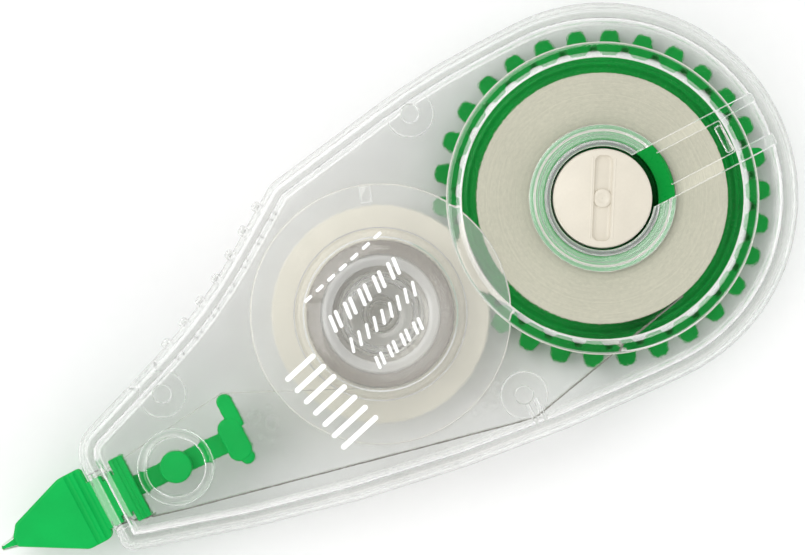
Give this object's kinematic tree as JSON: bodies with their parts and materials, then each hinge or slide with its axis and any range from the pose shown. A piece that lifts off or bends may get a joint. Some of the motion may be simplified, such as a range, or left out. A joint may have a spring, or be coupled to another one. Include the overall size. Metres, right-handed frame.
{
  "type": "correction tape roller",
  "caption": "Mini correction tape roller: clear teardrop case, meshed supply and take-up wheels, slotted tension dial, sprung tongue and a green blade head.",
  "frame": {"origin": "centre of the bounding box's base, on the flat back of the case, under the take-up axle", "axes": "+X from the head's tip to the round big end, +Y towards the thumb grip, +Z from the back to the front plate"},
  "size_m": [0.0684, 0.03, 0.012],
  "materials": {
    "clear_plastic": "polished clear plastic",
    "green_plastic": "moulded green plastic, satin",
    "core_plastic": "natural clear plastic",
    "tape": "wound tape, fine grain",
    "dial_plastic": "moulded cream plastic, satin",
    "cream_plastic": "moulded cream plastic, satin",
    "reel_plastic": "polished clear plastic",
    "used_liner": "wound liner, fine grain",
    "head_plastic": "moulded bright green plastic, satin",
    "liner": "thin glassine liner",
    "print_ink": "white pad print"
  },
  "bodies": {
    "case": {"back_shell": "clear_plastic", "front_shell": "clear_plastic", "head_stem": "head_plastic", "tape_strand": "tape", "liner_strand": "liner", "printed_marks": "print_ink"},
    "supply_wheel": {"supply_gear": "green_plastic"},
    "supply_reel": {"tape_core": "core_plastic", "tape_roll": "tape", "tension_dial": "dial_plastic"},
    "take_up_wheel": {"take_up_gear": "cream_plastic", "take_up_reel": "reel_plastic", "used_liner_roll": "used_liner"},
    "head": {"head_nose": "head_plastic", "tip_tape": "tape"},
    "tongue": {"click_tongue": "clear_plastic"}
  },
  "joints": [
    {"name": "supply_spin", "type": "hinge", "parent": "case", "child": "supply_wheel", "pos_m": [0.0192, 0, 0.002], "axis": [0, 0, 1], "continuous": true},
    {"name": "reel_slip", "type": "hinge", "parent": "supply_wheel", "child": "supply_reel", "pos_m": [0.0192, 0, 0.006], "axis": [0, 0, 1], "continuous": true},
    {"name": "take_up_spin", "type": "hinge", "parent": "case", "child": "take_up_wheel", "pos_m": [0, 0, 0.002], "axis": [0, 0, 1], "continuous": true},
    {"name": "head_twist", "type": "hinge", "parent": "case", "child": "head", "pos_m": [-0.0243, -0.00305, 0.0062], "axis": [1, 0, 0], "range_deg": [-4, 4], "stiffness_Nm_per_rad": 0.1},
    {"name": "tongue_flex", "type": "hinge", "parent": "case", "child": "tongue", "pos_m": [0.0299, 0, 0.0116], "axis": [0, 1, 0], "range_deg": [0, 5], "stiffness_Nm_per_rad": 0.05}
  ],
  "couplings": [
    {"joint": "take_up_spin", "follows": "supply_spin", "ratio": -1.7647}
  ]
}
